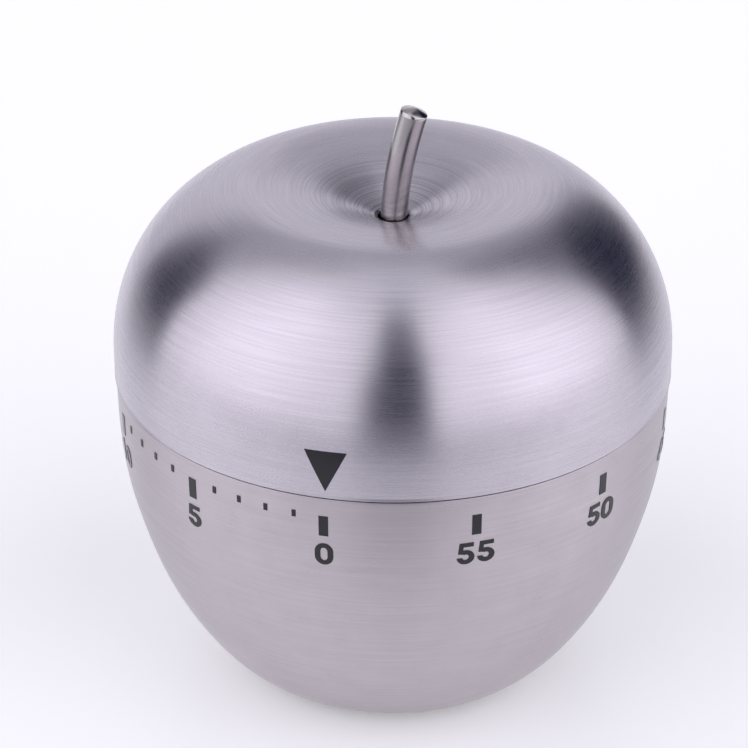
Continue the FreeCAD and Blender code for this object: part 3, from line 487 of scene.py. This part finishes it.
top_z = BEND_Z + BEND_R * BEND_TURN
side = [(STEM_R, z) for z in np.linspace(STEM_LOW_Z, top_z, STEM_ROWS)]
end = [(STEM_R - STEM_BREAK, top_z + STEM_BREAK), (STEM_POINT_R, top_z + STEM_CONE),
       (0, top_z + STEM_CONE)]
rod = turn("stem_rod", [(0, STEM_LOW_Z)] + side + end, bright_rod, steps=STEM_STEPS)
lean = Vector((math.cos(STEM_LEAN), math.sin(STEM_LEAN), 0))
axis = Vector((0, 0, 1)).cross(lean)
for vertex in rod.data.vertices:
    above = vertex.co.z / MM - BEND_Z
    if above > 0:
        turned = min(above / BEND_R, BEND_TURN)
        centre = lean * BEND_R * MM + Vector((0, 0, BEND_Z * MM))
        flat = Vector((vertex.co.x, vertex.co.y, (BEND_Z + above - turned * BEND_R) * MM))
        vertex.co = Matrix.Rotation(turned, 3, axis) @ (flat - centre) + centre
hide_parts("stem")
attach(rod, "cap")


# ---- Floor
# A plain white table top of satin acrylic, with a faint painted glow. Painted shade darkens its colour
# and glow in front, at the sides and in the two far corners; round the timer and behind it, it stays
# bright.

FLOOR_HALF = 3.0
FRONT = math.radians(13.4)
LIT_TONE = "#efeff1"
SHADE_TONE = "#a0a0a5"
LIT_GLOW = 0.25
SHADE_GLOW = 0.05
AHEAD_FADE = (0.005, 0.22, 1.0)
BESIDE_FADE = (0.08, 0.3, 0.35)
CORNER_FADE = (0.1, 0.3, 0.8)
BEHIND_FADE = (-0.06, 0.16, 1.0)

# Its painted shade and painted glow follow the place on the table, so they are linked again below.
white_top = grained("satin_white_acrylic_painted_shade_and_glow", LIT_TONE, 30.0, 2.0, (0.3, 0.36), LIT_TONE, IOR=1.49,
                    Emission_Color=(1.0, 1.0, 1.0, 1.0))
tree = white_top.node_tree
surface = next(node for node in tree.nodes if node.type == "BSDF_PRINCIPLED")
spots = add(tree, "ShaderNodeTexCoord").outputs["Object"]
faced = add(tree, "ShaderNodeVectorRotate", {"Vector": spots, "Angle": -FRONT},
            rotation_type="Z_AXIS").outputs[0]
across = add(tree, "ShaderNodeVectorMath", {0: faced}, operation="ABSOLUTE").outputs[0]


def fades(direction, ways, start, end, most):
    """Goes softly from 0 to most over a stretch of the floor, in metres along a direction."""
    far = add(tree, "ShaderNodeVectorMath", {0: ways, 1: direction},
              operation="DOT_PRODUCT").outputs["Value"]
    return add(tree, "ShaderNodeMapRange",
               {"Value": far, "From Min": start, "From Max": end, "To Max": most},
               interpolation_type="SMOOTHSTEP").outputs[0]


ahead = fades((0.0, -1.0, 0.0), faced, *AHEAD_FADE)
beside = fades((1.0, 0.0, 0.0), across, *BESIDE_FADE)
wide = fades((1.0, 0.0, 0.0), across, *CORNER_FADE)
behind = fades((0.0, 1.0, 0.0), faced, *BEHIND_FADE)
far_corner = add(tree, "ShaderNodeMath", {0: wide, 1: behind}, operation="MULTIPLY").outputs[0]
sides = add(tree, "ShaderNodeMath", {0: beside, 1: far_corner}, operation="MAXIMUM").outputs[0]
shade = add(tree, "ShaderNodeMath", {0: sides, 1: ahead}, operation="MAXIMUM").outputs[0]
# Painted shade: over these stretches the floor's colour darkens and its painted glow dims.
tone = add(tree, "ShaderNodeMix",
           {"Factor": shade, "A": linear(LIT_TONE), "B": linear(SHADE_TONE)}, data_type="RGBA")
painted_glow = add(tree, "ShaderNodeMapRange",
                {"Value": shade, "To Min": LIT_GLOW, "To Max": SHADE_GLOW}).outputs[0]
tree.links.new(tone.outputs["Result"], surface.inputs["Base Color"])
tree.links.new(painted_glow, surface.inputs["Emission Strength"])
sheet = bpy.data.meshes.new("floor")
corners = [(-FLOOR_HALF, -FLOOR_HALF, 0), (FLOOR_HALF, -FLOOR_HALF, 0),
           (FLOOR_HALF, FLOOR_HALF, 0), (-FLOOR_HALF, FLOOR_HALF, 0)]
sheet.from_pydata(corners, [], [(0, 1, 2, 3)])
sheet.materials.append(white_top)
floor = bpy.data.objects.new("floor", sheet)
bpy.context.scene.collection.objects.link(floor)


# ---- Studio light
# A soft tent: a wide lit wall on each side, with a narrow gap between them in front, dark corners
# behind, and a dim roof. Each wall is a row of (bearing from the front in degrees, glow).

LOW_WALLS = [(-180, 0.80), (-158, 0.76), (-145, 0.66), (-137, 0.25), (-125, 0.04), (-112, 0.05),
             (-104, 1.1), (-92, 1.22), (-77, 1.42), (-60, 1.45), (-42, 1.3), (-30, 1.18),
             (-21, 1.1), (-16, 0.9), (-11, 0.42), (-7, 0.12), (-3, 0.04), (10, 0.03), (13, 0.2),
             (18, 0.95), (24, 1.22), (42, 1.33), (60, 1.55), (77, 1.52), (92, 1.35), (103, 1.1),
             (111, 0.6), (117, 0.04), (145, 0.02), (155, 0.2), (163, 0.7), (180, 0.80)]
HIGH_WALLS = [(-180, 0.5), (-145, 0.42), (-125, 0.38), (-115, 0.76), (-105, 1.05), (-92, 1.3),
              (-77, 1.45), (-60, 1.45), (-42, 1.3), (-21, 1.12), (-15, 1.0), (-10, 0.75),
              (-6, 0.3), (-2, 0.1), (9, 0.05), (13, 0.2), (18, 0.75), (24, 1.1), (42, 1.3),
              (60, 1.4), (77, 1.35), (92, 1.15), (105, 0.8), (115, 0.3), (125, 0.12), (135, 0.1),
              (145, 0.16), (157, 0.4), (180, 0.5)]
LOW_TO_HIGH = (28, 40)
HIGH_TO_ROOF = (64, 80)
ROOF = (0.88, 0.88, 0.97)
WALL_TINT = (0.985, 0.965, 1.03)
CORNER_TINT = (0.0, 0.004, 0.03)
CURVE_TOP = 2.0
WALL_POWER = 1.05

world = bpy.data.worlds.new("soft_studio_tent")
world.use_nodes = True
tree = world.node_tree
tree.nodes.clear()
away = add(tree, "ShaderNodeTexCoord").outputs["Generated"]
faced = add(tree, "ShaderNodeVectorRotate", {"Vector": away, "Angle": -FRONT},
            rotation_type="Z_AXIS").outputs[0]
parts = add(tree, "ShaderNodeSeparateXYZ", {0: faced}).outputs
frontward = add(tree, "ShaderNodeMath", {0: parts["Y"], 1: -1.0}, operation="MULTIPLY").outputs[0]
bearing = add(tree, "ShaderNodeMath", {0: parts["X"], 1: frontward},
              operation="ARCTAN2").outputs[0]
height = add(tree, "ShaderNodeMath", {0: parts["Z"]}, operation="ARCSINE").outputs[0]
way_round = add(tree, "ShaderNodeMapRange",
                {"Value": bearing, "From Min": -math.pi, "From Max": math.pi}).outputs[0]


def wall(stops):
    """The light of a ring of walls, from its stops of bearing and glow."""
    shaped = add(tree, "ShaderNodeFloatCurve", {"Value": way_round})
    curve = shaped.mapping.curves[0]
    curve.points[0].location = (0.0, stops[0][1] / CURVE_TOP)
    curve.points[-1].location = (1.0, stops[-1][1] / CURVE_TOP)
    for degrees, glow in stops[1:-1]:
        curve.points.new((degrees + 180) / 360, glow / CURVE_TOP)
    shaped.mapping.update()
    return shaped.outputs[0]


def rise(start, end):
    """Goes softly from 0 to 1 between two heights above level, in degrees."""
    return add(tree, "ShaderNodeMapRange",
               {"Value": height, "From Min": math.radians(start), "From Max": math.radians(end)},
               interpolation_type="SMOOTHSTEP").outputs[0]


walls = add(tree, "ShaderNodeMix",
            {"Factor": rise(*LOW_TO_HIGH), "A": wall(LOW_WALLS), "B": wall(HIGH_WALLS)})
bright = add(tree, "ShaderNodeMath", {0: walls.outputs[0], 1: CURVE_TOP * WALL_POWER},
             operation="MULTIPLY").outputs[0]
tinted = add(tree, "ShaderNodeVectorMath", {0: bright, 1: WALL_TINT, 2: CORNER_TINT},
             operation="MULTIPLY_ADD").outputs[0]
light = add(tree, "ShaderNodeMix", {"Factor": rise(*HIGH_TO_ROOF), "A": tinted, "B": (*ROOF, 1.0)},
            data_type="RGBA")
lit = add(tree, "ShaderNodeBackground", {"Color": light.outputs["Result"], "Strength": 1.0})
add(tree, "ShaderNodeOutputWorld", {"Surface": lit.outputs[0]})
bpy.context.scene.world = world
bpy.context.scene.view_settings.view_transform = "Standard"


# ---- Camera
# It stands in front, a little to the right of the 0 mark, and looks down on the cap. LOOK is how
# far its aim is moved from the middle of the seam, to the right and up, in millimetres.

CAMERA_AWAY = 336.3
CAMERA_UP = math.radians(28.45)
LENS = 144.8
LOOK = (-2.09, -1.68)

sideways = Vector((math.cos(FRONT), math.sin(FRONT), 0))
to_camera = Vector((math.sin(FRONT) * math.cos(CAMERA_UP),
                    -math.cos(FRONT) * math.cos(CAMERA_UP), math.sin(CAMERA_UP)))
middle = Vector((0, 0, SEAM_Z))
stand = middle + to_camera * CAMERA_AWAY
aim = middle + sideways * LOOK[0] + to_camera.cross(sideways) * LOOK[1]
camera = bpy.data.objects.new("camera", bpy.data.cameras.new("camera"))
camera.data.lens = LENS
camera.data.clip_start = 0.01
camera.location = stand * MM
camera.rotation_mode = "QUATERNION"
camera.rotation_quaternion = (aim - stand).to_track_quat("-Z", "Y")
bpy.context.scene.collection.objects.link(camera)
bpy.context.scene.camera = camera
